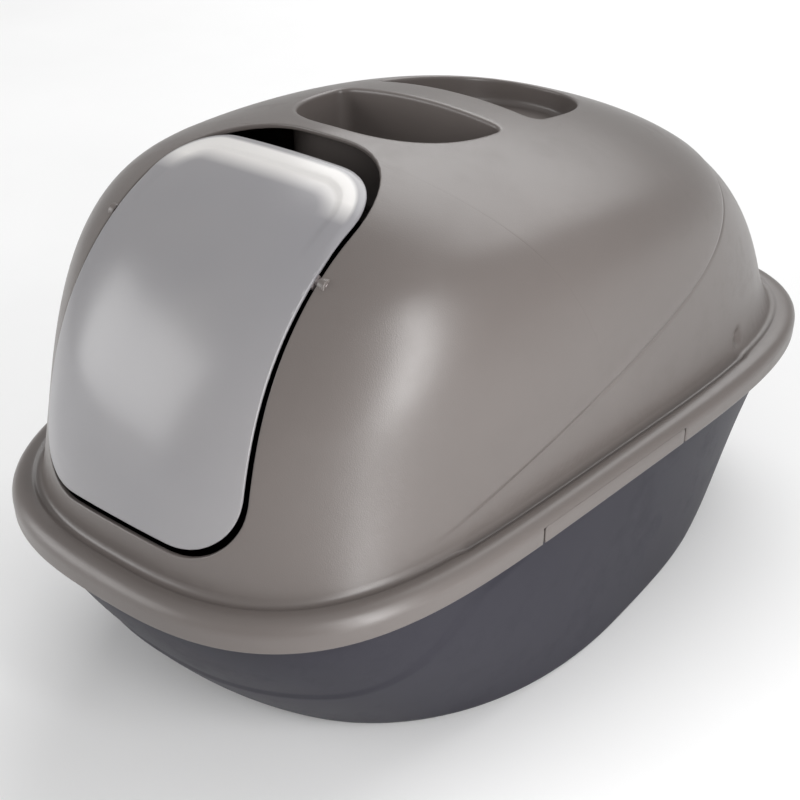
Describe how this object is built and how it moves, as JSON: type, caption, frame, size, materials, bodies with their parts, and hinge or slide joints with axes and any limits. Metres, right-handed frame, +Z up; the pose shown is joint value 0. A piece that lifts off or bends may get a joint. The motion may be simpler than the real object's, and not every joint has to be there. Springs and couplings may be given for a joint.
{
  "type": "hooded cat litter box",
  "caption": "Covered cat litter box: a rounded tray under a lift-off domed hood with a swinging curved flap, a carry handle in the roof and snap tabs in the skirt.",
  "frame": {"origin": "on the floor, under the middle of the box", "axes": "+Z up, the doorway faces -Y, X across the box"},
  "size_m": [0.3976, 0.62, 0.3557],
  "materials": {
    "tray_plastic": "satin moulded",
    "hood_plastic": "satin moulded",
    "flap_plastic": "smoky frosted, translucent",
    "pin_plastic": "satin moulded",
    "carbon_felt": "felt"
  },
  "bodies": {
    "tray": {"tray": "tray_plastic"},
    "hood": {"hood": "hood_plastic", "hinge_clip_left": "hood_plastic", "hinge_clip_right": "hood_plastic", "filter_holder": "hood_plastic", "filter_pad": "carbon_felt"},
    "flap": {"flap": "flap_plastic", "hinge_pin_left": "pin_plastic", "hinge_pin_right": "pin_plastic"},
    "latch_left": {"latch_left": "hood_plastic"},
    "latch_right": {"latch_right": "hood_plastic"}
  },
  "joints": [
    {"name": "hood_lift", "type": "slide", "parent": "tray", "child": "hood", "axis": [0, 0, 1], "range_m": [0, 0.2]},
    {"name": "flap_swing", "type": "hinge", "parent": "hood", "child": "flap", "pos_m": [0, -0.197, 0.3155], "axis": [1, 0, 0], "range_deg": [-70, 45]},
    {"name": "latch_left_flex", "type": "hinge", "parent": "hood", "child": "latch_left", "pos_m": [-0.1832, -0.0355, 0.1475], "axis": [-0.1118, 0.9937, 0], "range_deg": [0, 10], "stiffness_Nm_per_rad": 0.5},
    {"name": "latch_right_flex", "type": "hinge", "parent": "hood", "child": "latch_right", "pos_m": [0.1832, -0.0355, 0.1475], "axis": [-0.1118, -0.9937, 0], "range_deg": [0, 10], "stiffness_Nm_per_rad": 0.5}
  ]
}
